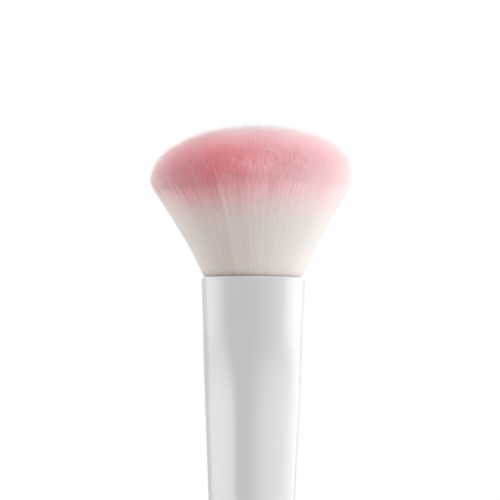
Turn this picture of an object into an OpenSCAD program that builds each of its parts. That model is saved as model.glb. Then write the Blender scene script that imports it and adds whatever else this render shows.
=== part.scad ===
// A powder brush: a dense, domed head of bristles in a long tapering handle.
// The handle is round at its mouth, where it holds the bundled roots, and turns four-sided
// with soft corners lower down. It stands on its flat end.
// +Z runs from the flat end to the bristle tips, and the origin is the middle of the flat end.

/* [Handle] */
// Height of the handle, from its flat end to the rim of its mouth
handle_height = 132; // [110:1:150]
// Width of the flat ring that shows round the bristles at the rim, with its edge
rim_width = 1.05; // [0.9:0.05:1.6]
// Rounding of the outer edge of the rim
rim_edge = 0.35; // [0.15:0.05:0.6]
// Length of the round collar below the rim
collar_length = 13; // [8:0.5:20]
// Length over which the round section turns four-sided
blend_length = 21; // [12:1:40]
// Distance from the axis to each corner ridge at the flat end
end_radius = 7.3; // [6.4:0.1:9.5]
// Rounding of the edge round the flat end
end_edge = 1.2; // [0.4:0.1:2]
// How square the lower handle is: 2 is round and higher is squarer
squareness = 3.5; // [2.4:0.1:5]

/* [Socket] */
// Depth of the bore in the handle, below the rim
socket_depth = 13; // [11:0.5:18]
// Gap all round between the sleeve and the bore
bore_gap = 0.05; // [0.02:0.01:0.1]
// Gap all round between the bristles and the flared mouth
mouth_gap = 0.15; // [0.1:0.05:0.3]
// Thickness of the glue under the sleeve
glue_depth = 0.4; // [0.2:0.1:0.8]

/* [Sleeve] */
// Outer radius of the metal sleeve that bundles the roots
sleeve_radius = 11.5; // [9:0.1:14]
// Thickness of the sleeve
sleeve_wall = 0.4; // [0.3:0.05:0.6]
// How far the top edge of the sleeve lies below the rim
sleeve_drop = 2.5; // [1.5:0.1:4]
// How far the foot of the sleeve is turned in
foot_width = 1.2; // [0.8:0.1:2.5]
// Height of the cast root plug, from the foot of the sleeve
plug_height = 4.8; // [3:0.1:6]
// Gap all round between the sleeve and what it holds
root_gap = 0.1; // [0.05:0.01:0.15]

/* [Bristles] */
// Largest radius of the bristle head
head_radius = 25.65; // [22:0.1:30]
// Height of the widest place of the head above the rim
head_belly = 24.5; // [18:0.5:30]
// Height of the dome above the widest place
dome_height = 13.9; // [9:0.1:18]
// Height above the rim at which the bristles start to spread faster
bend_height = 9.5; // [6:0.5:13]
// Radius of the bundle at that height
bend_radius = 17; // [14:0.1:20]
// Slope of the outermost bristles above that height, in radius for height
spread_share = 0.625; // [0.5:0.005:0.75]
// How full the dome is: 2 is an ellipse and higher is fuller
fullness = 2.2; // [1.8:0.1:3]
// How far a bristle's tip may stray from the dome
tip_stray = 0.6; // [0:0.1:1.2]
// Length of the tapered tip of a bristle
tip_length = 1.8; // [0.8:0.1:3]
// Rows of bristles across the bundle
bristle_rows = 20; // [18:2:22]

/* [Hidden] */
// What stands clear of a face that it cuts
overrun = 1;
// Sides of a section of the handle, and steps of its rounded edges and of its turn to square
handle_sides = 80;
edge_steps = 4;
blend_steps = 14;
// Share of its own field that a bristle fills at the bend and near its tip
bend_fill_share = 0.9;
tip_fill_share = 0.84;
// Share of a field by which its corners are shifted, so that the rows aren't ruled
shift_share = 0.2;
shift_seed = 7;
stray_seed = 21;
halvings = 22;

// The sleeve's inside, what it holds, and the bore round it
sleeve_bore = sleeve_radius - sleeve_wall;
root_radius = sleeve_bore - root_gap;
bore_radius = sleeve_radius + bore_gap;
socket_floor = handle_height - socket_depth;
sleeve_foot = socket_floor + glue_depth;
root_top = handle_height - sleeve_drop;
plug_top = sleeve_foot + plug_height;

// The bundle spreads from the sleeve's edge, so the mouth opens beside it
bend_level = handle_height + bend_height;
root_slope = (bend_radius - root_radius) / (bend_level - root_top);
mouth_radius = root_radius + root_slope * sleeve_drop + mouth_gap;
mouth_depth = (mouth_radius - bore_radius) / root_slope;
rim_radius = mouth_radius + rim_width;
belly_level = handle_height + head_belly;

// Distance from the axis to the outline of a soft-cornered square at an angle from a corner
function outline(ridge, power, angle) =
    ridge * pow(2, 1 / power - 1 / 2)
    / pow(pow(abs(cos(angle - 45)), power) + pow(abs(sin(angle - 45)), power), 1 / power);

// Distance from the axis to the corner ridges at a depth below the rim
function ridge_at(depth) = rim_radius - (rim_radius - end_radius) * depth / handle_height;

function eased(share) = share <= 0 ? 0 : share >= 1 ? 1 : share * share * (3 - 2 * share);

// The section's power at a depth below the rim: round at the collar, then squarer
function power_at(depth) = 2 + (squareness - 2) * eased((depth - collar_length) / blend_length);

// A section of the handle: its height, its power and its ridges' distance from the axis
function section(depth, inset) = [handle_height - depth, power_at(depth), ridge_at(depth) - inset];

// Sections from the flat end up to the rim, with both ends' edges rounded
function end_sections() = [
    for (step = [0 : edge_steps])
        let (turn = 90 * step / edge_steps)
            section(handle_height - end_edge * (1 - cos(turn)), end_edge * (1 - sin(turn)))
];

function body_sections() = [
    for (step = [blend_steps : -1 : 0]) section(collar_length + blend_length * step / blend_steps, 0)
];

function rim_sections() = [
    for (step = [0 : edge_steps])
        let (turn = 90 * step / edge_steps)
            section(rim_edge * (1 - sin(turn)), rim_edge * (1 - cos(turn)))
];

// A closed solid through a list of sections
module loft(sections, sides) {
    rings = len(sections);
    points = concat(
        [for (ring = sections, side = [0 : sides - 1])
            let (angle = 360 * side / sides, reach = outline(ring[2], ring[1], angle))
                [reach * cos(angle), reach * sin(angle), ring[0]]],
        [[0, 0, sections[0][0]], [0, 0, sections[rings - 1][0]]]);
    walls = [
        for (ring = [0 : rings - 2], side = [0 : sides - 1], half = [0, 1])
            let (low = ring * sides, high = low + sides, next = (side + 1) % sides)
                half == 0 ? [low + side, high + next, low + next]
                          : [low + side, high + side, high + next]];
    ends = [
        for (side = [0 : sides - 1], top = [0, 1])
            let (next = (side + 1) % sides, last = (rings - 1) * sides)
                top == 0 ? [rings * sides, side, next]
                         : [rings * sides + 1, last + next, last + side]];
    polyhedron(points, concat(walls, ends));
}

module handle() {
    // The cap's inner ring lies inside the bore, so the mouth is cut from a plain ring
    cap = [handle_height, 2, bore_radius - sleeve_wall];
    color([0.94, 0.94, 0.93])
        difference() {
            loft(concat(end_sections(), body_sections(), rim_sections(), [cap]), handle_sides);
            rotate_extrude()
                polygon([
                    [0, socket_floor],
                    [bore_radius, socket_floor],
                    [bore_radius, handle_height - mouth_depth],
                    [mouth_radius, handle_height],
                    [mouth_radius, handle_height + overrun],
                    [0, handle_height + overrun]]);
        }
}

// A thin tube with its foot turned in under the plug
module inner_sleeve() {
    color([0.75, 0.76, 0.78])
        rotate_extrude()
            polygon([
                [sleeve_bore - foot_width, sleeve_foot],
                [sleeve_radius, sleeve_foot],
                [sleeve_radius, root_top],
                [sleeve_bore, root_top],
                [sleeve_bore, sleeve_foot + sleeve_wall],
                [sleeve_bore - foot_width, sleeve_foot + sleeve_wall]]);
}

module glue_bed() {
    color([0.85, 0.82, 0.7])
        translate([0, 0, socket_floor])
            cylinder(r = sleeve_radius, h = glue_depth, $fn = 96);
}

// Resin cast round the roots: a disc on the turned-in foot, with a boss through the foot's hole
module root_plug() {
    color([0.8, 0.72, 0.5])
        rotate_extrude()
            polygon([
                [0, sleeve_foot],
                [sleeve_bore - foot_width - root_gap, sleeve_foot],
                [sleeve_bore - foot_width - root_gap, sleeve_foot + sleeve_wall],
                [root_radius, sleeve_foot + sleeve_wall],
                [root_radius, plug_top],
                [0, plug_top]]);
}

// Radius of the bundle's envelope at a height
function spread_at(level) =
    level < bend_level
        ? root_radius + root_slope * (level - root_top)
        : bend_radius + spread_share * (level - bend_level);

// Radius of the dome at a height, which is a cylinder below the belly
function dome_at(level) =
    let (rise = max(0, level - belly_level) / dome_height)
        rise >= 1 ? 0 : head_radius * pow(1 - pow(rise, fullness), 1 / fullness);

// Height at which a bristle at a share of the bundle's radius meets the dome, by halving
function tip_level(share, low, high, left) =
    let (middle = (low + high) / 2)
        left == 0 ? middle
        : share * spread_at(middle) < dome_at(middle) ? tip_level(share, middle, high, left - 1)
        : tip_level(share, low, middle, left - 1);

// A square of side 2 drawn as concentric rings on a disc of radius 1, each field of equal area
function on_disc(u, v) =
    u == 0 && v == 0 ? [0, 0]
    : abs(u) >= abs(v) ? u * [cos(45 * v / u), sin(45 * v / u)]
    : v * [sin(45 * u / v), cos(45 * u / v)];

// All bristles and the packed roots below them, as one closed skin. Each bristle keeps to its own
// field of the disc at every height, so none crosses another.
module bristle_tuft() {
    rows = bristle_rows;
    posts = rows + 1;
    shifts = rands(-shift_share, shift_share, 2 * posts * posts, shift_seed);
    strays = rands(-tip_stray, tip_stray, rows * rows, stray_seed);

    // Corners of the fields, as shares of the bundle's radius. The outer ones stay on the circle.
    corners = [
        for (row = [0 : rows], column = [0 : rows])
            let (inside = row > 0 && row < rows && column > 0 && column < rows ? 1 : 0,
                 at = row * posts + column)
                on_disc(2 * (column + inside * shifts[2 * at]) / rows - 1,
                        2 * (row + inside * shifts[2 * at + 1]) / rows - 1)];
    edge = concat(
        [for (step = [0 : rows - 1]) step],
        [for (step = [0 : rows - 1]) step * posts + rows],
        [for (step = [rows : -1 : 1]) rows * posts + step],
        [for (step = [rows : -1 : 1]) step * posts]);
    edges = len(edge);

    fields = [
        for (row = [0 : rows - 1], column = [0 : rows - 1])
            let (at = row * posts + column) [at, at + 1, at + posts + 1, at + posts]];
    middles = [for (field = fields) (corners[field[0]] + corners[field[1]]
                                     + corners[field[2]] + corners[field[3]]) / 4];
    tips = [
        for (at = [0 : len(fields) - 1])
            tip_level(norm(middles[at]), bend_level, belly_level + dome_height, halvings)
            + strays[at]];

    // The four corners of a bristle at a height, filling a share of its field
    function ring(at, level, fill_share) = [
        for (corner = fields[at])
            let (place = (middles[at] + (corners[corner] - middles[at]) * fill_share)
                         * spread_at(level))
                [place[0], place[1], level]];

    roots = [for (corner = corners) [corner[0] * root_radius, corner[1] * root_radius, root_top]];
    under = [for (corner = edge) [corners[corner][0] * root_radius,
                                  corners[corner][1] * root_radius, plug_top]];
    first = len(roots) + edges + 1;
    skins = [
        for (at = [0 : len(fields) - 1])
            each concat(
                ring(at, bend_level, bend_fill_share),
                ring(at, tips[at] - tip_length, tip_fill_share),
                [[middles[at][0] * spread_at(tips[at]), middles[at][1] * spread_at(tips[at]),
                  tips[at]]])];

    walls = [
        for (at = [0 : len(fields) - 1], side = [0 : 3])
            let (next = (side + 1) % 4,
                 bend = first + 9 * at,
                 high = bend + 4,
                 tip = bend + 8)
                each [
                    [fields[at][side], bend + next, fields[at][next]],
                    [fields[at][side], bend + side, bend + next],
                    [bend + side, high + next, bend + next],
                    [bend + side, high + side, high + next],
                    [high + side, tip, high + next]]];
    packed = [
        for (step = [0 : edges - 1])
            let (next = (step + 1) % edges, low = len(roots))
                each [
                    [low + step, edge[next], low + next],
                    [low + step, edge[step], edge[next]],
                    [low + edges, low + step, low + next]]];

    color([0.93, 0.72, 0.74])
        polyhedron(concat(roots, under, [[0, 0, plug_top]], skins), concat(walls, packed));
}

handle();
inner_sleeve();
glue_bed();
root_plug();
bristle_tuft();
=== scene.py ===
"""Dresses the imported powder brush: its glossy handle, its bristles, the pieces inside its mouth
and the studio that it is shown in. All lengths are in metres and the brush stands on z = 0."""

import math
from types import SimpleNamespace

import bpy
from bpy.props import FloatProperty, FloatVectorProperty, IntProperty, PointerProperty
from mathutils import Matrix, Vector


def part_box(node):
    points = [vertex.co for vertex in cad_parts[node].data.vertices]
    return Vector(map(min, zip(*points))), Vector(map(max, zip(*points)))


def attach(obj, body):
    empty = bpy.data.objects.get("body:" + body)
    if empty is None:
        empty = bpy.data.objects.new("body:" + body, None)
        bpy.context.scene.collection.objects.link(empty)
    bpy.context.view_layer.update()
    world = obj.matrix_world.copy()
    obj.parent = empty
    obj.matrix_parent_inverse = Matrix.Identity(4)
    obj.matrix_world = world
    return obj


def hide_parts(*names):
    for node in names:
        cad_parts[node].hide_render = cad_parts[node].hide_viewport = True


bl_info = {
    "name": "Powder brush",
    "version": (1, 0, 0),
    "blender": (4, 5, 0),
    "location": "3D View > Sidebar > Powder brush",
    "description": "Makes a powder brush with a domed head of bristles and shows it in a white studio",
    "category": "Add Mesh",
}

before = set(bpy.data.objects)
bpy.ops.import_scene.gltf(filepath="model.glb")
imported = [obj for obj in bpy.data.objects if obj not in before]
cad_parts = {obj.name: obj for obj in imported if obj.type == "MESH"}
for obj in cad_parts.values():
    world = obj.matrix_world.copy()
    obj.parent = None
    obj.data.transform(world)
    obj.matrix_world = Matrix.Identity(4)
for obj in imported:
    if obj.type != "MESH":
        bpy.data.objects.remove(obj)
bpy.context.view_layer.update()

MM = 0.001
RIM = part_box("handle")[1].z
SLEEVE_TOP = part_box("inner_sleeve")[1].z
ROOTS_RADIUS = 11 * MM

# Just above the sleeve the bundle's radius grows by the flare for each metre of height. Higher up
# it grows faster, by this growth times the height squared.
FLARE = 0.4425
FLARE_GROWTH = 4.927

# The strands' own map, which holds their tone as u and their height as v
STRAND_MAP = "OFBake"


# Settings that a user would change


def length(name, description, default):
    """A length for a settings group."""
    return FloatProperty(
        name=name, description=description, default=default, min=0.0, unit="LENGTH", precision=4
    )


def colour(name, description, default):
    """A colour for a settings group."""
    return FloatVectorProperty(
        name=name,
        description=description,
        default=default,
        size=3,
        subtype="COLOR",
        min=0.0,
        max=1.0,
    )


def light(name, description, default):
    """A lamp's power, or how strong a light is, for a settings group."""
    return FloatProperty(name=name, description=description, default=default, min=0.0)


class HandleSettings(bpy.types.PropertyGroup):
    """Sizes and finish of the handle."""

    height: length("Height", "From the flat end to the rim", RIM)
    rim_radius: length("Rim radius", "Outer radius at the rim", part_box("handle")[1].x)
    end_radius: length("End radius", "From the axis to a corner ridge at the flat end", 7.3 * MM)
    collar: length("Collar", "Length of the round part below the rim", 13 * MM)
    blend: length("Blend", "Length over which the section turns four-sided", 21 * MM)
    rim_edge: length("Rim edge", "Rounding of the rim's outer edge", 0.35 * MM)
    end_edge: length("End edge", "Rounding of the edge round the flat end", 1.2 * MM)
    bore_radius: length("Bore radius", "Radius of the bore that takes the sleeve", 11.55 * MM)
    bore_depth: length("Bore depth", "Depth of the bore below the rim", 13 * MM)
    mouth_width: length("Mouth width", "Width of the ring round the mouth", 1.05 * MM)
    mouth_depth: length("Mouth depth", "Height of the flared mouth", 1.7 * MM)
    squareness: FloatProperty(
        name="Squareness",
        description="2 is round, and higher is squarer",
        default=3.5,
        min=2.0,
        max=8.0,
    )
    sides: IntProperty(name="Sides", description="Faces round the handle", default=128, min=16)
    # The lacquer's colour is a light grey, darker than the white of the real moulding. It holds
    # painted shade for the half shade that the handle's front lies in.
    lacquer: colour("Lacquer", "Colour of the handle", (0.53, 0.53, 0.52))


class BristleSettings(bpy.types.PropertyGroup):
    """Shape and colours of the bristle head."""

    head_radius: length("Head radius", "Largest radius of the head", 25.65 * MM)
    belly: length("Belly", "Height of the widest place above the rim", 24.5 * MM)
    dome: length("Dome", "Height of the dome above the widest place", 13.5 * MM)
    fullness: FloatProperty(
        name="Fullness", description="2 is an ellipse, and higher is fuller", default=2.2, min=1.5
    )
    filling: IntProperty(
        name="Filling", description="Bristles spread over the whole bundle", default=26000, min=100
    )
    mantle: IntProperty(
        name="Mantle", description="Bristles in the outermost layer", default=32000, min=100
    )
    thickness: length("Thickness", "Diameter of a bristle", 0.16 * MM)
    stray: length("Stray", "How far tips stray from the dome", 0.5 * MM)
    lean: length("Lean", "How far the tips lean to one side", 0.75 * MM)
    lean_turn: FloatProperty(
        name="Lean turn",
        description="Which way the tips lean, turned from the X axis",
        default=math.radians(189.5),
        subtype="ANGLE",
    )
    seed: IntProperty(name="Seed", description="Changes how the bristles lie", default=11, min=0)
    patchiness: FloatProperty(
        name="Patchiness",
        description="How much the paleness differs from patch to patch",
        default=4.5,
        min=0.0,
    )
    paleness: FloatProperty(
        name="Paleness",
        description="How pale the bristles are on the whole, from 0 to 1",
        default=0.37,
        min=0.0,
        max=1.0,
    )
    # The roots' colour is a warm grey, darker than the nearly white hair at the real roots. It holds
    # painted shade for the lower half of the head.
    root_colour: colour("Roots", "Colour of the lower half", (0.74, 0.645, 0.58))
    tip_colour: colour("Tips", "Colour of the upper half", (1.0, 0.28, 0.32))


class StageSettings(bpy.types.PropertyGroup):
    """Camera and light of the studio."""

    distance: length("Distance", "From the camera to the brush", 1.15)
    camera_height: length("Camera height", "Height of the camera above the floor", 96 * MM)
    view_middle: length("View middle", "Height at the middle of the picture", 138.9 * MM)
    view_height: length("View height", "Height that fills the picture", 125 * MM)
    sideways: FloatProperty(
        name="Sideways",
        description="How far the camera is moved to its right",
        default=-0.95 * MM,
        unit="LENGTH",
        precision=4,
    )
    turn: FloatProperty(
        name="Turn",
        description="How far the camera is turned round the brush",
        default=math.radians(9.5),
        subtype="ANGLE",
    )
    roll: FloatProperty(
        name="Roll", description="Tilt of the camera", default=math.radians(0.5), subtype="ANGLE"
    )
    right_power: light("Right light", "Power of the large light on the right", 4.85)
    left_power: light("Left light", "Power of the light on the left", 3.4)
    top_power: light("Top light", "Power of the light overhead", 0.9)
    front_power: light("Front light", "Power of the light above the camera", 2.1)
    back_power: light("Back light", "Power of the light behind the brush", 2.2)
    room: light("Room light", "Strength of the light from all round", 0.26)
    floor_colour: colour("Floor", "Colour of the floor", (0.9, 0.9, 0.9))


# Node trees


class Field:
    """A value in a node tree, which sums can be written with."""

    def __init__(self, sheet, socket):
        self.sheet, self.socket = sheet, socket

    def __add__(self, other):
        return self.sheet.math("ADD", self, other)

    def __radd__(self, other):
        return self.sheet.math("ADD", other, self)

    def __sub__(self, other):
        return self.sheet.math("SUBTRACT", self, other)

    def __rsub__(self, other):
        return self.sheet.math("SUBTRACT", other, self)

    def __mul__(self, other):
        return self.sheet.math("MULTIPLY", self, other)

    def __rmul__(self, other):
        return self.sheet.math("MULTIPLY", other, self)

    def __truediv__(self, other):
        return self.sheet.math("DIVIDE", self, other)

    def __rtruediv__(self, other):
        return self.sheet.math("DIVIDE", other, self)

    def __pow__(self, other):
        return self.sheet.math("POWER", self, other)

    def __rpow__(self, other):
        return self.sheet.math("POWER", other, self)


class Sheet:
    """A node tree that is written value by value."""

    # Where a Mix node keeps its two values and its result, for each kind of value
    MIX_SOCKETS = {"FLOAT": (2, 3, 0), "VECTOR": (4, 5, 1), "RGBA": (6, 7, 2)}

    def __init__(self, tree):
        self.tree = tree

    def put(self, socket, value):
        """Links a field to a socket, or sets the socket to a plain value."""
        if isinstance(value, Field):
            self.tree.links.new(value.socket, socket)
        else:
            socket.default_value = value

    def node(self, kind, inputs=(), output=0, **settings):
        """Adds a node and returns one of its outputs as a field."""
        made = self.tree.nodes.new(kind)
        for name, value in settings.items():
            setattr(made, name, value)
        for name, value in dict(inputs).items():
            self.put(made.inputs[name], value)
        return Field(self, made.outputs[output])

    def math(self, operation, *values):
        return self.node("ShaderNodeMath", enumerate(values), operation=operation)

    def cos(self, angle):
        return self.math("COSINE", angle)

    def sin(self, angle):
        return self.math("SINE", angle)

    def root(self, value):
        return self.math("SQRT", value)

    def size(self, value):
        """The value without its sign."""
        return self.math("ABSOLUTE", value)

    def at_least(self, value, least):
        return self.math("MAXIMUM", value, least)

    def at_most(self, value, most):
        return self.math("MINIMUM", value, most)

    def passed(self, value, start, end, curve="LINEAR"):
        """Goes from 0 to 1 while value goes from start to end, and stays within them."""
        inputs = {"Value": value, "From Min": start, "From Max": end}
        return self.node("ShaderNodeMapRange", inputs, interpolation_type=curve)

    def between(self, share, first, second, kind="FLOAT"):
        """A value between two, or for another kind a vector or a colour between two."""
        one, two, result = self.MIX_SOCKETS[kind]
        inputs = {0: share, one: first, two: second}
        return self.node("ShaderNodeMix", inputs, output=result, data_type=kind)

    def vector(self, x, y, z):
        return self.node("ShaderNodeCombineXYZ", {"X": x, "Y": y, "Z": z})

    def unit(self, vector):
        """The same way, with a length of 1."""
        return self.node("ShaderNodeVectorMath", {0: vector}, operation="NORMALIZE")

    def parts(self, vector):
        """The three parts of a vector."""
        outputs = self.node("ShaderNodeSeparateXYZ", {"Vector": vector}).socket.node.outputs
        return [Field(self, output) for output in outputs]

    def noise(self, place, scale, detail=2.0, roughness=0.5, **options):
        inputs = {"Vector": place, "Scale": scale, "Detail": detail, "Roughness": roughness}
        return self.node("ShaderNodeTexNoise", inputs, **options)


class GeometrySheet(Sheet):
    """A geometry tree with named inputs. Its result ends in Realize Instances and Set Material."""

    KINDS = {float: "NodeSocketFloat", int: "NodeSocketInt", bool: "NodeSocketBool"}

    def __init__(self, name, inputs):
        super().__init__(bpy.data.node_groups.new(name, "GeometryNodeTree"))
        sockets = self.tree.interface
        sockets.new_socket(name="Geometry", in_out="INPUT", socket_type="NodeSocketGeometry")
        for label, value in inputs.items():
            kind = self.KINDS[type(value)]
            made = sockets.new_socket(name=label, in_out="INPUT", socket_type=kind)
            made.default_value = value
        sockets.new_socket(name="Material", in_out="INPUT", socket_type="NodeSocketMaterial")
        sockets.new_socket(name="Geometry", in_out="OUTPUT", socket_type="NodeSocketGeometry")
        self.given = self.tree.nodes.new("NodeGroupInput")

    def __getitem__(self, label):
        return Field(self, self.given.outputs[label])

    def whole(self, operation, *values):
        """A sum with whole numbers."""
        return self.node("FunctionNodeIntegerMath", enumerate(values), operation=operation)

    def chance(self, owner, seed):
        """A value from 0 to 1 that is drawn once for each owner."""
        inputs = {"ID": owner, "Seed": seed}
        return self.node("FunctionNodeRandomValue", inputs, output=1, data_type="FLOAT")

    def keep(self, geometry, name, value, domain="POINT", kind="FLOAT"):
        """Stores a value under a name."""
        inputs = {"Geometry": geometry, "Name": name, "Value": value}
        return self.node(
            "GeometryNodeStoreNamedAttribute", inputs, domain=domain, data_type=kind
        )

    def kept(self, name, kind="FLOAT"):
        """Reads a value that was stored under a name."""
        return self.node("GeometryNodeInputNamedAttribute", {"Name": name}, data_type=kind)

    def joined(self, mesh, gap):
        """Joins points that lie nearer to each other than a gap."""
        return self.node("GeometryNodeMergeByDistance", {"Geometry": mesh, "Distance": gap})

    def smooth(self, mesh):
        return self.node("GeometryNodeSetShadeSmooth", {"Geometry": mesh})

    def turned_grid(self, zones):
        """A grid for a turned form. Its columns go round the axis, and its rows go along the
        outline, with a number of them in each zone. Returns the grid, the angle round the axis
        and how far each zone is passed."""
        rows = sum(zones.values())
        grid = self.node(
            "GeometryNodeMeshGrid",
            {"Size X": 1.0, "Size Y": 1.0, "Vertices X": self["Sides"] + 1, "Vertices Y": rows + 1},
        )
        across, along, _ = self.parts(self.node("GeometryNodeInputPosition"))
        angle = (across + 0.5) * (2 * math.pi)
        row = (along + 0.5) * rows
        gone, start = {}, 0
        for zone, count in zones.items():
            gone[zone] = self.passed(row, start, start + count)
            start += count
        return grid, angle, gone

    def turned_form(self, grid, x, y, z):
        """Moves the grid's points to their places, closes its seam and poles and ends the tree."""
        place = self.vector(x, y, z)
        mesh = self.node("GeometryNodeSetPosition", {"Geometry": grid, "Position": place})
        return self.finish(self.joined(mesh, gap=0.001 * MM))

    def finish(self, mesh):
        """Ends the tree in a smooth mesh with its material, and returns it."""
        mesh = self.node("GeometryNodeRealizeInstances", {"Geometry": self.smooth(mesh)})
        inputs = {"Geometry": mesh, "Material": self["Material"]}
        mesh = self.node("GeometryNodeSetMaterial", inputs)
        result = self.tree.nodes.new("NodeGroupOutput")
        self.put(result.inputs["Geometry"], mesh)
        set_out(self.tree)
        return self.tree


def set_out(tree):
    """Sets a tree's nodes out in columns, each to the right of what feeds it."""
    column_width, row_height = 220, 180
    column = {node: 0 for node in tree.nodes}
    for _ in tree.nodes:
        moved = False
        for link in tree.links:
            if column[link.to_node] <= column[link.from_node]:
                column[link.to_node] = column[link.from_node] + 1
                moved = True
        if not moved:
            break
    rows = {}
    for node, place in column.items():
        node.location = (column_width * place, -row_height * rows.get(place, 0))
        rows[place] = rows.get(place, 0) + 1


def grow(name, tree, values, material):
    """Runs a geometry tree on an empty mesh and returns the result as a plain mesh object."""
    values = {**values, "Material": material}
    piece = bpy.data.objects.new(name, bpy.data.meshes.new(name))
    bpy.context.scene.collection.objects.link(piece)
    modifier = piece.modifiers.new("Grow", "NODES")
    modifier.node_group = tree
    for socket in tree.interface.items_tree:
        if socket.in_out == "INPUT" and socket.name in values:
            modifier[socket.identifier] = values[socket.name]
    graph = bpy.context.evaluated_depsgraph_get()
    mesh = bpy.data.meshes.new_from_object(
        piece.evaluated_get(graph), preserve_all_data_layers=True, depsgraph=graph
    )
    if not mesh.polygons:
        raise RuntimeError(f"the tree {tree.name} made nothing for {name}")
    piece.modifiers.clear()
    old, piece.data = piece.data, mesh
    bpy.data.meshes.remove(old)
    mesh.name = name
    return piece


# Materials


class Finish(Sheet):
    """A material that is written value by value and ends in one shader."""

    def __init__(self, name):
        self.material = bpy.data.materials.new(name)
        self.material.use_nodes = True
        super().__init__(self.material.node_tree)
        self.tree.nodes.clear()

    def place(self):
        """Where a point lies on its own piece."""
        return self.node("ShaderNodeTexCoord", output="Object")

    def blend(self, share, first, second):
        """A colour between two."""
        pair = [tint if isinstance(tint, Field) else (*tint, 1.0) for tint in (first, second)]
        return self.between(share, *pair, kind="RGBA")

    def bump(self, height, strength, distance):
        inputs = {"Height": height, "Strength": strength, "Distance": distance}
        return self.node("ShaderNodeBump", inputs)

    def shade(self, inputs):
        """Ends the tree in a shader with these inputs, and returns the material."""
        shader = self.node("ShaderNodeBsdfPrincipled", inputs)
        output = self.tree.nodes.new("ShaderNodeOutputMaterial")
        self.put(output.inputs["Surface"], shader)
        set_out(self.tree)
        return self.material


def scaled(tint, *shares):
    """A colour times one share, or times a share for each of its three parts."""
    shares = shares * 3 if len(shares) == 1 else shares
    return tuple(min(1.0, part * share) for part, share in zip(tint, shares))


def paler(tint, left):
    """A colour nearer to white, with only a share left of what it lacked."""
    return tuple(1 - (1 - part) * left for part in tint)


def lacquer(tint):
    """Glossy moulding with the faint unevenness of a polished tool. The real moulding is white; the
    light grey tint that it is given holds painted shade.
    """
    finish = Finish("white lacquer")
    place = finish.place()
    cloud = finish.noise(place, scale=60.0, detail=3.0)
    ripple = finish.noise(place, scale=900.0, detail=1.0)
    return finish.shade(
        {
            "Base Color": finish.blend(cloud, scaled(tint, 0.985), scaled(tint, 1.02)),
            "Roughness": finish.noise(place, scale=220.0) * 0.06 + 0.27,
            "Normal": finish.bump(ripple, strength=0.03, distance=0.2 * MM),
            "Coat Weight": 0.1,
            "Coat Roughness": 0.12,
        }
    )


def fibre(roots, tips):
    """Bristle colours, by the tone and the height that the strands' own map holds."""
    finish = Finish("pink-tipped fibre")
    tone, height, _ = finish.parts(finish.node("ShaderNodeUVMap", uv_map=STRAND_MAP))
    pink_from, pink_to = 0.40, 0.68

    # The tone also settles how early a strand turns pink, so that neighbours differ
    uneven = finish.sin(tone * 144.5) * 0.035
    pink = finish.passed(height + uneven, pink_from, pink_to, "SMOOTHSTEP")
    pale = finish.passed(tone, 0.0, 1.0)
    low = finish.blend(pale, scaled(roots, 0.92, 0.9, 0.89), paler(roots, 0.72))
    high = finish.blend(pale, scaled(tips, 0.86, 0.7, 0.73), paler(tips, 0.55))
    return finish.shade(
        {
            "Base Color": finish.blend(pink, low, high),
            "Roughness": 0.5,
            "Specular IOR Level": 0.8,
            "Sheen Weight": 0.9,
            "Sheen Roughness": 0.55,
        }
    )


def packed_hair(roots, tips):
    """The hair between the outermost bristles, with streaks up its sides and specks on its crown,
    where the strands' ends show. The crown is also paler than the sides: painted highlight, like the
    paler strands that end there."""
    finish = Finish("packed hair")
    head_height = 39 * MM
    pink_from, pink_to = 0.40, 0.66
    crown_from, crown_to = RIM + 28 * MM, RIM + 34.5 * MM

    # The tiny amount keeps a point on the axis from a division by nothing
    place = finish.place()
    x, y, level = finish.parts(place)
    away = finish.root(x * x + y * y + 1e-9)
    streaked = finish.vector(x / away, y / away, level * 12.0)
    streaks = finish.noise(streaked, scale=60.0, detail=3.0, roughness=0.7)
    ends = finish.noise(place, scale=2600.0, detail=1.0)

    height = (level - RIM) / head_height + (streaks - 0.5) * 0.16
    pink = finish.passed(height, pink_from, pink_to, "SMOOTHSTEP")
    low = finish.blend(streaks, scaled(roots, 0.8), roots)
    high = finish.blend(streaks, scaled(tips, 0.93, 0.75, 0.75), tips)
    sides = finish.blend(pink, low, high)
    # The crown's specks are the strands' ends, and its paler colour is painted highlight.
    crown = finish.blend(finish.passed(ends, 0.35, 0.62), scaled(tips, 0.8), paler(tips, 0.4))
    over = finish.passed(level, crown_from, crown_to, "SMOOTHSTEP")
    grain = finish.between(over, streaks, ends)
    return finish.shade(
        {
            "Base Color": finish.blend(over, sides, crown),
            "Roughness": streaks * 0.2 + 0.5,
            "Normal": finish.bump(grain, strength=0.6, distance=0.3 * MM),
        }
    )


def drawn_aluminium():
    """Thin drawn metal with fine lines round it."""
    finish = Finish("drawn aluminium")
    inputs = {"Vector": finish.place(), "Scale": (40.0, 40.0, 4000.0)}
    lines = finish.noise(finish.node("ShaderNodeMapping", inputs), scale=1.0, detail=3.0)
    return finish.shade(
        {
            "Base Color": finish.blend(lines, (0.66, 0.67, 0.68), (0.8, 0.81, 0.82)),
            "Metallic": 1.0,
            "Roughness": lines * 0.15 + 0.26,
            "Normal": finish.bump(lines, strength=0.15, distance=0.05 * MM),
        }
    )


def cast_resin(name, pale, deep, roughness):
    """Set resin or glue with small clouds and specks."""
    finish = Finish(name)
    clouds = finish.noise(finish.place(), scale=350.0, detail=4.0, roughness=0.6)
    return finish.shade(
        {
            "Base Color": finish.blend(clouds, deep, pale),
            "Roughness": clouds * 0.2 + roughness,
            "Normal": finish.bump(clouds, strength=0.3, distance=0.2 * MM),
        }
    )


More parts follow.
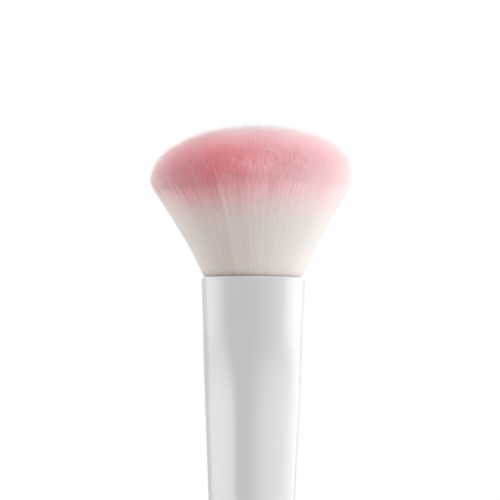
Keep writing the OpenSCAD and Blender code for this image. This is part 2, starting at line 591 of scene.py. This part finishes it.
def floor_paint(tint):
    """Pale floor with the brush's shadow on it, which the camera sees fade to white far away."""
    finish = Finish("pale floor")
    place = finish.place()
    x, y, _ = finish.parts(place)
    away = finish.root(x * x + y * y)
    fade_from, fade_to = 0.12, 0.5
    seen = finish.node("ShaderNodeLightPath", output="Is Camera Ray")
    fade = seen * finish.passed(away, fade_from, fade_to, "SMOOTHSTEP")
    grain = finish.noise(place, scale=30.0)
    plain = finish.blend(grain * 0.3, tint, scaled(tint, 0.98))
    near = finish.blend(seen, plain, (0.98, 0.98, 0.98))
    return finish.shade(
        {
            "Base Color": finish.blend(fade, near, (0.0, 0.0, 0.0)),
            "Specular IOR Level": 0.0,
            "Emission Color": (1.0, 1.0, 1.0, 1.0),
            "Emission Strength": fade,
            "Roughness": 0.7,
        }
    )


# The handle's tree


# The rows of faces in each zone of the outline
HANDLE_ROWS = {
    "end disc": 3,
    "end edge": 8,
    "side": 96,
    "rim edge": 6,
    "rim": 2,
    "mouth": 3,
    "bore": 6,
    "bore floor": 3,
}


def handle_tree():
    """A turned form whose section goes from round to four-sided. Its outline goes from the flat
    end up the side, over the rim and down the bore."""
    sheet = GeometrySheet(
        "Handle with soft corners",
        {
            "Height": 132 * MM,
            "Rim Radius": 13.4 * MM,
            "End Radius": 7.3 * MM,
            "Collar": 13 * MM,
            "Blend": 21 * MM,
            "Rim Edge": 0.35 * MM,
            "End Edge": 1.2 * MM,
            "Bore Radius": 11.55 * MM,
            "Bore Depth": 13 * MM,
            "Mouth Radius": 12.4 * MM,
            "Mouth Depth": 1.7 * MM,
            "Squareness": 3.5,
            "Sides": 128,
        },
    )
    grid, angle, gone = sheet.turned_grid(HANDLE_ROWS)
    height, rim_radius = sheet["Height"], sheet["Rim Radius"]
    rim_edge, end_edge = sheet["Rim Edge"], sheet["End Edge"]
    mouth_radius, mouth_depth = sheet["Mouth Radius"], sheet["Mouth Depth"]
    quarter = math.pi / 2

    end_turn, rim_turn = gone["end edge"] * quarter, gone["rim edge"] * quarter
    outer_level = (
        end_edge * (1 - sheet.cos(end_turn))
        + (height - end_edge - rim_edge) * gone["side"]
        + rim_edge * sheet.sin(rim_turn)
    )
    depth = height - outer_level
    ridge = (
        rim_radius
        - (rim_radius - sheet["End Radius"]) * depth / height
        - end_edge * (1 - sheet.sin(end_turn))
        - rim_edge * (1 - sheet.cos(rim_turn))
    )
    inwards = (
        (mouth_radius - rim_radius + rim_edge) * gone["rim"]
        + (sheet["Bore Radius"] - mouth_radius) * gone["mouth"]
    )
    ridge = (ridge * gone["end disc"] + inwards) * (1 - gone["bore floor"])
    level = (
        outer_level
        - mouth_depth * gone["mouth"]
        - (sheet["Bore Depth"] - mouth_depth) * gone["bore"]
    )

    blended = sheet.passed(
        depth, sheet["Collar"], sheet["Collar"] + sheet["Blend"], "SMOOTHSTEP"
    )
    power = 2 + (sheet["Squareness"] - 2) * blended
    corner = angle - math.pi / 4
    section = (
        sheet.size(sheet.cos(corner)) ** power + sheet.size(sheet.sin(corner)) ** power
    ) ** (1 / power)
    reach = ridge * 2.0 ** (1 / power - 0.5) / section
    return sheet.turned_form(grid, reach * sheet.cos(angle), reach * sheet.sin(angle), level)


# The trees of the bristle head


# The rows of faces in each zone of the core's outline
CORE_ROWS = {"root disc": 2, "flare": 26, "dome": 22}

# Inputs that the core and the strands share. Levels are heights above the brush's flat end.
HEAD_FORM = {
    "Root Level": 129.5 * MM,
    "Root Radius": 11 * MM,
    "Head Radius": 25.65 * MM,
    "Belly Level": 156.5 * MM,
    "Dome Height": 13.5 * MM,
    "Fullness": 2.2,
    "Lean": 0.75 * MM,
    "Lean Turn": math.radians(189.5),
}

# A strand is turned by this angle from the one before, which spreads all of them evenly
GOLDEN_ANGLE = 2.399963

# What is drawn by chance for each strand, and by how much each draw raises the seed
DRAWS = {
    "turn": 1,
    "shorter": 2,
    "stray": 3,
    "loose": 4,
    "sway aside": 5,
    "sway outwards": 6,
    "tone": 7,
    "width": 8,
    "crossing": 9,
    "bend": 10,
}


def spread(sheet, above):
    """The bundle's radius at a height above the sleeve: it widens, and the faster the higher."""
    return sheet["Root Radius"] + above * FLARE + above * above * FLARE_GROWTH


def leant(sheet, grown):
    """How far the bundle has leant along x and y, at a share of its length."""
    far = sheet["Lean"] * grown**1.5
    return far * sheet.cos(sheet["Lean Turn"]), far * sheet.sin(sheet["Lean Turn"])


def tilt(sheet, out, angle):
    """How much lower the dome lies at a place, because the head leans to one side. That side
    sinks more than the other rises."""
    leaning = out * sheet.cos(angle - sheet["Lean Turn"])
    return sheet["Lean"] * (0.8 * leaning + 1.2 * sheet.at_least(leaning, 0.0) ** 2.0)


def core_tree():
    """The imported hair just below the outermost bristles: a turned, closed form that leans with
    them."""
    sheet = GeometrySheet(
        "Packed core", {**HEAD_FORM, "Inset": 1.8 * MM, "Crown Inset": 2 * MM, "Sides": 128}
    )
    grid, angle, gone = sheet.turned_grid(CORE_ROWS)
    head_radius, dome_height = sheet["Head Radius"], sheet["Dome Height"]
    flare = sheet["Belly Level"] - sheet["Root Level"]

    above = flare * gone["flare"]
    inset = sheet["Inset"] * (0.5 + 0.5 * gone["flare"])
    side_radius = spread(sheet, above) * (head_radius / spread(sheet, flare)) - inset
    turn = gone["dome"] * (math.pi / 2)
    exponent = 2 / sheet["Fullness"]
    radius = side_radius * gone["root disc"] * sheet.at_least(sheet.cos(turn), 0.0) ** exponent
    rise = (dome_height - sheet["Crown Inset"]) * sheet.sin(turn) ** exponent

    lean_x, lean_y = leant(sheet, (above + rise) / (flare + dome_height))
    lower = tilt(sheet, radius / head_radius, angle) * gone["flare"]
    return sheet.turned_form(
        grid,
        radius * sheet.cos(angle) + lean_x,
        radius * sheet.sin(angle) + lean_y,
        sheet["Root Level"] + above + rise - lower,
    )


def strand_tip(sheet, strand, drawn):
    """Where a strand's tip lies on the dome. The filling is even, and the mantle crowds to the
    outside. Its out is 0 on the axis and 1 at the belly, and its rise is the reverse."""
    fullness = sheet["Fullness"]
    order = (strand + 0.5) / (sheet["Strands"] * sheet["Groups"])
    crowded = sheet.cos(sheet["Depth"] * order**1.6) ** (2 / fullness)
    out = sheet.between(sheet["Mantle"], sheet.root(order), crowded)
    angle = strand * GOLDEN_ANGLE + (drawn("turn") - 0.5) * 0.01
    rise = (1 - out**fullness) ** (1 / fullness)
    lower = tilt(sheet, out, angle)
    rounded_off = sheet.passed(out, 0.97, 1.0) * sheet["Edge Drop"]
    level = sheet["Belly Level"] + sheet["Dome Height"] * rise - rounded_off - lower
    way = sheet.cos(angle), sheet.sin(angle)
    return SimpleNamespace(out=out, rise=rise, lower=lower, level=level, way=way)


def strand_length(sheet, tip, drawn):
    """A strand's length above the sleeve. Some by the belly are shorter, and a few tips are
    loose and stand out of the dome."""
    shorter = drawn("shorter") ** 3.0 * sheet.passed(tip.out, 0.9, 1.0) * sheet["Shortening"]
    loose = sheet.passed(drawn("loose"), 0.97, 1.0) * sheet["Loose Length"]
    stray = (drawn("stray") - 0.5) * 2 * sheet["Stray"]
    return tip.level - shorter + loose + stray - sheet["Root Level"]


def strand_reach(sheet, tip, above, drawn):
    """How far a point of a strand lies from the axis. The outer strands fan out straight, and
    bend up where they would leave the dome."""
    head_radius, fullness = sheet["Head Radius"], sheet["Fullness"]
    root_level, belly_level = sheet["Root Level"], sheet["Belly Level"]
    straight = tip.out * head_radius / spread(sheet, tip.level - root_level)
    outermost = head_radius / spread(sheet, belly_level - root_level)
    hugging = sheet["Bend"] * sheet.passed(tip.out, 0.7, 0.97, "SMOOTHSTEP")
    free = sheet.between(hugging, straight, outermost) * spread(sheet, above)

    past = sheet.at_least(above + root_level - belly_level + tip.lower, 0.0)
    past = sheet.at_most(past / sheet["Dome Height"], 0.999)
    allowed = head_radius * (1 - past**fullness) ** (1 / fullness)
    held = sheet.math("SMOOTH_MIN", free, allowed, sheet["Bend Width"])
    bent = sheet.passed(tip.out, 0.6, 0.85) * (1 - 0.3 * drawn("bend") ** 3.0)
    return sheet.between(bent, free, held)


def strand_place(sheet, tip, lock, reach, run, grown, drawn):
    """Where a point of a strand lies. Neighbours lean together in locks, and each strand sways a
    little by itself."""
    lock_x, lock_y, _ = lock
    pull = grown * grown * sheet["Clumping"] * 4
    sway = grown**1.5 * sheet["Sway"] * 2
    crossing = (1 - grown) * sheet["Sway"]
    aside = (
        (lock_x - 0.5) * pull
        + (drawn("sway aside") - 0.5) * sway
        + (drawn("crossing") - 0.5) * crossing
    )
    outwards = (lock_y - 0.5) * pull * 0.3 + (drawn("sway outwards") - 0.5) * sway * 0.4
    lean_x, lean_y = leant(sheet, grown)
    way_x, way_y = tip.way
    x = (reach + outwards) * way_x - aside * way_y + lean_x
    y = (reach + outwards) * way_y + aside * way_x + lean_y
    return sheet.vector(x, y, sheet["Root Level"] + run)


def strand_facing(sheet, tip, above, grown):
    """The way that the bundle faces at a point: nearly square to the strands lower down, and out
    of the dome at the tips."""
    # A length like the dome's size, which keeps both parts of the way out of it near 1
    like_dome = 14 * MM
    slope = FLARE + above * (2 * FLARE_GROWTH)
    turned = sheet.passed(grown, 0.6, 1.0, "SMOOTHSTEP")
    power = sheet["Fullness"] - 1
    dome_out = tip.out**power / sheet["Head Radius"] * like_dome
    dome_up = tip.rise**power / sheet["Dome Height"] * like_dome
    out = sheet.between(turned, 1.0, dome_out)
    up = sheet.between(turned, slope * -0.8, dome_up)
    way_x, way_y = tip.way
    return sheet.unit(sheet.vector(way_x * out, way_y * out, up))


def strand_tone(sheet, patches, lock, rise, drawn):
    """How pale a strand is, from 0 to 1. It differs by patches, by locks and by strands, and the
    strands that end at the crown are made paler: a painted highlight for the light that the tips there
    catch.
    """
    lock_z = lock[2]
    tone = (
        sheet["Paleness"]
        + (patches - 0.5) * sheet["Patchiness"]
        + (lock_z - 0.5) * 0.8
        + (drawn("tone") - 0.5) * 0.6
        # Painted highlight: strands that end near the top of the crown are paler, for the light that
        # catches the tips there.
        + sheet.passed(rise, 0.85, 1.0) * 0.25
    )
    return sheet.at_most(sheet.at_least(tone, 0.02), 0.98)


def strand_tubes(sheet, local, step, place, stored):
    """Closed tubes of three sides along the strands' points, with a map of tone and height."""
    inputs = {"Count": sheet["Strands"] * sheet["Points"], "Position": place}
    points = sheet.node("GeometryNodePoints", inputs)
    for name, value in stored.items():
        kind = "FLOAT_VECTOR" if name == "facing" else "FLOAT"
        points = sheet.keep(points, name, value, kind=kind)
    facing = sheet.kept("facing", "FLOAT_VECTOR")
    inputs = {"Points": points, "Curve Group ID": local, "Weight": step}
    curves = sheet.node("GeometryNodePointsToCurves", inputs)
    inputs = {"Curve": curves, "Normal": facing}
    curves = sheet.node("GeometryNodeSetCurveNormal", inputs, mode="FREE")

    ring = sheet.node("GeometryNodeCurvePrimitiveCircle", {"Resolution": 3, "Radius": 1.0})
    ring = sheet.keep(ring, "around", sheet.node("GeometryNodeInputIndex") * 0.5)
    inputs = {
        "Curve": curves,
        "Profile Curve": ring,
        "Scale": sheet.kept("width"),
        "Fill Caps": True,
    }
    mesh = sheet.node("GeometryNodeCurveToMesh", inputs)
    tone = sheet.kept("tone") + (sheet.kept("around") - 0.5) * 0.006
    strip = sheet.vector(tone, sheet.kept("height"), 0.0)
    mesh = sheet.keep(mesh, STRAND_MAP, strip, "CORNER", "FLOAT2")
    mesh = sheet.smooth(sheet.joined(mesh, gap=0.0001 * MM))

    # Strands are shaded largely as the bundle's surface, because light passes through real ones
    own = sheet.node("GeometryNodeInputNormal")
    softened = sheet.between(sheet["Softness"], own, facing, kind="VECTOR")
    inputs = {"Mesh": mesh, "Custom Normal": sheet.unit(softened)}
    mesh = sheet.node("GeometryNodeSetMeshNormal", inputs, mode="FREE", domain="POINT")
    for name in (*stored, "around"):
        mesh = sheet.node("GeometryNodeRemoveAttribute", {"Geometry": mesh, "Name": name})
    return mesh


def bristle_tree():
    """Fine tapered strands from the sleeve to the dome. Each strand is a run of points that
    become a curve, and then a tube."""
    sheet = GeometrySheet(
        "Bristles",
        {
            "Strands": 3000,
            "Points": 7,
            "Group": 0,
            "Groups": 1,
            "Mantle": False,
            "Seed": 11,
            **HEAD_FORM,
            "Root Length": 4 * MM,
            "Thickness": 0.16 * MM,
            "Stray": 0.5 * MM,
            "Clumping": 0.06 * MM,
            "Sway": 0.3 * MM,
            "Edge Drop": 0.2 * MM,
            "Shortening": 3 * MM,
            "Loose Length": 1.1 * MM,
            "Bend": 0.45,
            "Bend Width": 1.5 * MM,
            "Pattern": 291.6,
            "Patchiness": 4.5,
            "Paleness": 0.37,
            "Depth": 0.9,
            "Softness": 0.9,
        },
    )
    index = sheet.node("GeometryNodeInputIndex")
    local = sheet.whole("DIVIDE_FLOOR", index, sheet["Points"])
    step = sheet.whole("SUBTRACT", index, sheet.whole("MULTIPLY", local, sheet["Points"]))
    strand = sheet.whole("ADD", sheet.whole("MULTIPLY", local, sheet["Groups"]), sheet["Group"])

    def drawn(what):
        """A value from 0 to 1 that is drawn by chance for each strand."""
        return sheet.chance(strand, sheet.whole("ADD", sheet["Seed"], DRAWS[what]))

    # The first point lies below the sleeve's top, and the rest lie closer towards the tip
    tip = strand_tip(sheet, strand, drawn)
    length_out = strand_length(sheet, tip, drawn)
    done = sheet.at_least(step - 1.0, 0.0) / (sheet["Points"] - 2)
    above = (1 - (1 - done) ** 1.5) * length_out
    run = above - sheet["Root Length"] * (1 - sheet.at_most(step, 1.0))
    grown = above / length_out

    # Locks and patches are read where the tips lie, the patches a little lower
    pattern_drop, headroom = 2 * MM, 2 * MM
    tip_x, tip_y = (way * tip.out * sheet["Head Radius"] for way in tip.way)
    locks = sheet.noise(
        sheet.vector(tip_x, tip_y, tip.level), scale=260.0, roughness=0.6, output=1
    )
    lock = sheet.parts(locks)
    patches = sheet.node(
        "ShaderNodeTexNoise",
        {
            "Vector": sheet.vector(tip_x, tip_y, tip.level - pattern_drop),
            "W": sheet["Pattern"],
            "Scale": 28.0,
            "Detail": 1.0,
        },
        noise_dimensions="4D",
    )

    reach = strand_reach(sheet, tip, above, drawn)
    place = strand_place(sheet, tip, lock, reach, run, grown, drawn)
    top_level = sheet["Belly Level"] + sheet["Dome Height"] + headroom
    full_height = top_level - sheet["Root Level"] + sheet["Root Length"]
    taper = 1 - done**6
    uneven = 0.8 + 0.4 * drawn("width")
    stored = {
        "width": sheet["Thickness"] * 0.5 * taper * uneven * (1 + 0.35 * grown * grown),
        "tone": strand_tone(sheet, patches, lock, tip.rise, drawn),
        "height": (run + sheet["Root Length"]) / full_height,
        "facing": strand_facing(sheet, tip, above, grown),
    }
    return sheet.finish(strand_tubes(sheet, local, step, place, stored))


# Operators


class BRUSH_OT_make_handle(bpy.types.Operator):
    """Make the handle, with its rim, its mouth and its bore"""

    bl_idname = "powder_brush.make_handle"
    bl_label = "Make the handle"

    def execute(self, context):
        sizes = context.scene.brush_handle
        values = {
            "Height": sizes.height,
            "Rim Radius": sizes.rim_radius,
            "End Radius": sizes.end_radius,
            "Collar": sizes.collar,
            "Blend": sizes.blend,
            "Rim Edge": sizes.rim_edge,
            "End Edge": sizes.end_edge,
            "Bore Radius": sizes.bore_radius,
            "Bore Depth": sizes.bore_depth,
            "Mouth Radius": sizes.rim_radius - sizes.mouth_width,
            "Mouth Depth": sizes.mouth_depth,
            "Squareness": sizes.squareness,
            "Sides": sizes.sides,
        }
        piece = grow("handle_moulding", handle_tree(), values, lacquer(tuple(sizes.lacquer)))
        piece.data.set_sharp_from_angle(angle=math.radians(40))
        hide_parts("handle")
        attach(piece, "root")
        return {"FINISHED"}


class BRUSH_OT_finish_roots(bpy.types.Operator):
    """Give the sleeve, the root plug and the glue bed their finishes"""

    bl_idname = "powder_brush.finish_roots"
    bl_label = "Finish the roots"

    def execute(self, context):
        finishes = {
            "inner_sleeve": drawn_aluminium(),
            "root_plug": cast_resin("amber resin", (0.74, 0.62, 0.4), (0.6, 0.46, 0.26), 0.25),
            "glue_bed": cast_resin("set glue", (0.84, 0.81, 0.7), (0.74, 0.7, 0.58), 0.35),
        }
        for node, finish in finishes.items():
            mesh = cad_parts[node].data
            mesh.materials.clear()
            mesh.materials.append(finish)
        return {"FINISHED"}


class BRUSH_OT_make_bristles(bpy.types.Operator):
    """Make the bristle head: a core, an even filling and a denser mantle round it"""

    bl_idname = "powder_brush.make_bristles"
    bl_label = "Make the bristles"

    def execute(self, context):
        sizes = context.scene.brush_bristles
        colours = tuple(sizes.root_colour), tuple(sizes.tip_colour)
        form = {
            "Root Level": SLEEVE_TOP,
            "Root Radius": ROOTS_RADIUS,
            "Head Radius": sizes.head_radius,
            "Belly Level": RIM + sizes.belly,
            "Dome Height": sizes.dome,
            "Fullness": sizes.fullness,
            "Lean": sizes.lean,
            "Lean Turn": sizes.lean_turn,
        }
        core = grow("bristles_core", core_tree(), form, packed_hair(*colours))
        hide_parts("bristle_tuft")
        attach(core, "root")

        # Each layer's strands, the points along each, the groups that they are split into, and
        # how far their seed lies from the one that is set
        layers = {
            "filling": (sizes.filling, 5, 4, 0),
            "mantle": (sizes.mantle, 6, 6, 100),
        }
        tree, finish = bristle_tree(), fibre(*colours)
        for layer, (count, points, groups, seed) in layers.items():
            for group in range(groups):
                values = {
                    **form,
                    "Thickness": sizes.thickness,
                    "Stray": sizes.stray,
                    "Patchiness": sizes.patchiness,
                    "Paleness": sizes.paleness,
                    "Strands": count // groups,
                    "Points": points,
                    "Group": group,
                    "Groups": groups,
                    "Mantle": layer == "mantle",
                    "Seed": sizes.seed + seed,
                }
                piece = grow(f"bristles_{layer}_{group + 1}", tree, values, finish)
                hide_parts("bristle_tuft")
                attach(piece, "root")
        return {"FINISHED"}


# The studio


# From the floor's middle to each of its sides
FLOOR_REACH = 2.5

# For each lamp: degrees round the brush from the camera, distance from the axis, height above
# the rim, and its own width and height
LAMPS = {
    "right": (101, 0.55, -0.06, 0.6, 0.7),
    "left": (-97, 0.55, -0.08, 0.5, 0.7),
    "top": (70, 0.22, 0.5, 0.4, 0.4),
    "front": (12, 0.42, 0.42, 0.4, 0.4),
    "back": (180, 0.5, 0.25, 0.6, 0.6),
}


def aim(item, target):
    """Turns a lamp or camera to look at a point."""
    item.rotation_euler = (target - item.location).to_track_quat("-Z", "Y").to_euler()


def around(turn, distance, height):
    """A place round the brush. Turn 0 is in front, where the brush is seen along +Y."""
    return Vector((distance * math.sin(turn), -distance * math.cos(turn), height))


def lay_floor(stage):
    """A large flat floor with its middle under the brush."""
    mesh = bpy.data.meshes.new("floor")
    corners = ((-1, -1), (1, -1), (1, 1), (-1, 1))
    places = [(x * FLOOR_REACH, y * FLOOR_REACH, 0) for x, y in corners]
    mesh.from_pydata(places, [], [(0, 1, 2, 3)])
    mesh.materials.append(floor_paint(tuple(stage.floor_colour)))
    floor = bpy.data.objects.new("floor", mesh)
    bpy.context.scene.collection.objects.link(floor)


def light_room(stage):
    """Soft light from all round. The camera and reflections see the room as plain white."""
    world = bpy.data.worlds.new("white room")
    bpy.context.scene.world = world
    world.use_nodes = True
    world.node_tree.nodes.clear()
    sheet = Sheet(world.node_tree)
    rays = sheet.node("ShaderNodeLightPath").socket.node.outputs
    seen = Field(sheet, rays["Is Camera Ray"])
    for ray in ("Is Glossy Ray", "Is Transmission Ray"):
        seen = sheet.at_least(seen, Field(sheet, rays[ray]))
    inputs = {"Color": (1.0, 1.0, 1.0, 1.0), "Strength": sheet.between(seen, stage.room, 1.0)}
    output = world.node_tree.nodes.new("ShaderNodeOutputWorld")
    sheet.put(output.inputs["Surface"], sheet.node("ShaderNodeBackground", inputs))
    set_out(world.node_tree)


def hang_lamp(name, place, width, height, power):
    """A large soft lamp that looks at the brush's rim, and that the camera doesn't see."""
    data = bpy.data.lights.new(name, "AREA")
    data.shape = "RECTANGLE"
    data.size, data.size_y = width, height
    data.energy = power
    lamp = bpy.data.objects.new(name, data)
    bpy.context.scene.collection.objects.link(lamp)
    lamp.location = place
    aim(lamp, Vector((0, 0, RIM)))
    lamp.visible_camera = False


def set_camera(stage):
    """A camera a little below the head, far enough away to show the brush nearly flat."""
    data = bpy.data.cameras.new("camera")
    camera = bpy.data.objects.new("camera", data)
    bpy.context.scene.collection.objects.link(camera)
    aside = Vector((math.cos(stage.turn), math.sin(stage.turn), 0)) * stage.sideways
    camera.location = around(stage.turn, stage.distance, stage.camera_height) + aside
    target = Vector((0, 0, stage.view_middle)) + aside
    aim(camera, target)
    facing = camera.rotation_euler.to_matrix()
    camera.rotation_euler = (facing @ Matrix.Rotation(stage.roll, 3, "Z")).to_euler()
    data.sensor_width = 36
    far = (target - camera.location).length
    data.lens = data.sensor_width * far / stage.view_height
    data.clip_start, data.clip_end = 0.01, 20
    bpy.context.scene.camera = camera


class BRUSH_OT_set_stage(bpy.types.Operator):
    """Set up the floor, the white room, the lights and the camera"""

    bl_idname = "powder_brush.set_stage"
    bl_label = "Set the stage"

    def execute(self, context):
        stage = context.scene.brush_stage
        lay_floor(stage)
        light_room(stage)
        for side, (degrees, distance, height, *size) in LAMPS.items():
            place = around(stage.turn + math.radians(degrees), distance, RIM + height)
            hang_lamp(f"{side} light", place, *size, getattr(stage, f"{side}_power"))
        set_camera(stage)
        context.scene.view_settings.view_transform = "Standard"
        return {"FINISHED"}


class BRUSH_PT_panel(bpy.types.Panel):
    """Lists the brush's settings and steps"""

    bl_idname = "BRUSH_PT_panel"
    bl_label = "Powder brush"
    bl_space_type = "VIEW_3D"
    bl_region_type = "UI"
    bl_category = "Powder brush"

    def draw(self, context):
        scene = context.scene
        groups = (
            (scene.brush_handle, (BRUSH_OT_make_handle, BRUSH_OT_finish_roots)),
            (scene.brush_bristles, (BRUSH_OT_make_bristles,)),
            (scene.brush_stage, (BRUSH_OT_set_stage,)),
        )
        for settings, steps in groups:
            box = self.layout.box()
            for name in type(settings).__annotations__:
                box.prop(settings, name)
            for step in steps:
                box.operator(step.bl_idname)


CLASSES = (
    HandleSettings,
    BristleSettings,
    StageSettings,
    BRUSH_OT_make_handle,
    BRUSH_OT_finish_roots,
    BRUSH_OT_make_bristles,
    BRUSH_OT_set_stage,
    BRUSH_PT_panel,
)


def register():
    for item in CLASSES:
        bpy.utils.register_class(item)
    bpy.types.Scene.brush_handle = PointerProperty(type=HandleSettings)
    bpy.types.Scene.brush_bristles = PointerProperty(type=BristleSettings)
    bpy.types.Scene.brush_stage = PointerProperty(type=StageSettings)


def unregister():
    del bpy.types.Scene.brush_stage
    del bpy.types.Scene.brush_bristles
    del bpy.types.Scene.brush_handle
    for item in reversed(CLASSES):
        bpy.utils.unregister_class(item)


def main():
    register()
    bpy.ops.powder_brush.make_handle()
    bpy.ops.powder_brush.finish_roots()
    bpy.ops.powder_brush.make_bristles()
    bpy.ops.powder_brush.set_stage()


if __name__ == "__main__":
    main()
